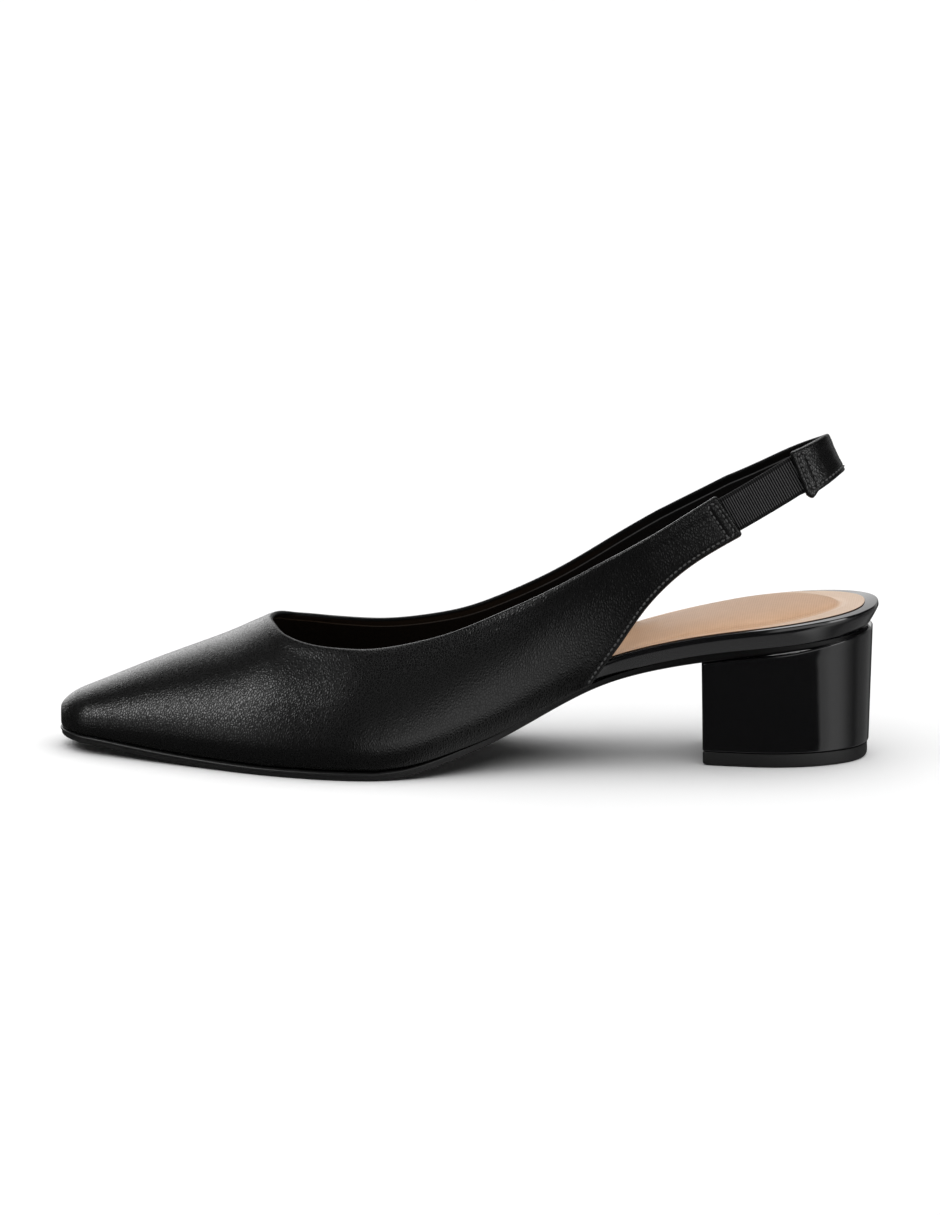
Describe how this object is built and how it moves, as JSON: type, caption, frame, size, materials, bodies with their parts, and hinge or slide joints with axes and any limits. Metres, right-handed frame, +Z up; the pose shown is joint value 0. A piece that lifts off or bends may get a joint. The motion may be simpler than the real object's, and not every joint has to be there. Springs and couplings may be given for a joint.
{
  "type": "slingback pump",
  "caption": "Low block-heeled slingback pump with a pointed closed toe, cut-away back quarters, an elastic gore in the heel sling and a padded sock on a wrapped footbed",
  "frame": {"origin": "on the floor under the middle of the shoe's box", "axes": "+X from the toe to the heel, +Y towards the inner side of the foot, +Z up"},
  "size_m": [0.2568, 0.0852, 0.102],
  "materials": {
    "upper_leather": "satin, fine grain",
    "elastic_web": "matt, fine cross ribs",
    "footbed_wrap": "gloss patent",
    "sock_lining": "matt, fine weave",
    "outsole_rubber": "satin",
    "heel_cover": "gloss patent",
    "top_piece_rubber": "matt"
  },
  "bodies": {
    "root": {"upper": "upper_leather", "elastic_gore": "elastic_web", "footbed": "footbed_wrap", "sock": "sock_lining", "outsole": "outsole_rubber", "heel_block": "heel_cover", "top_piece": "top_piece_rubber"}
  },
  "joints": []
}
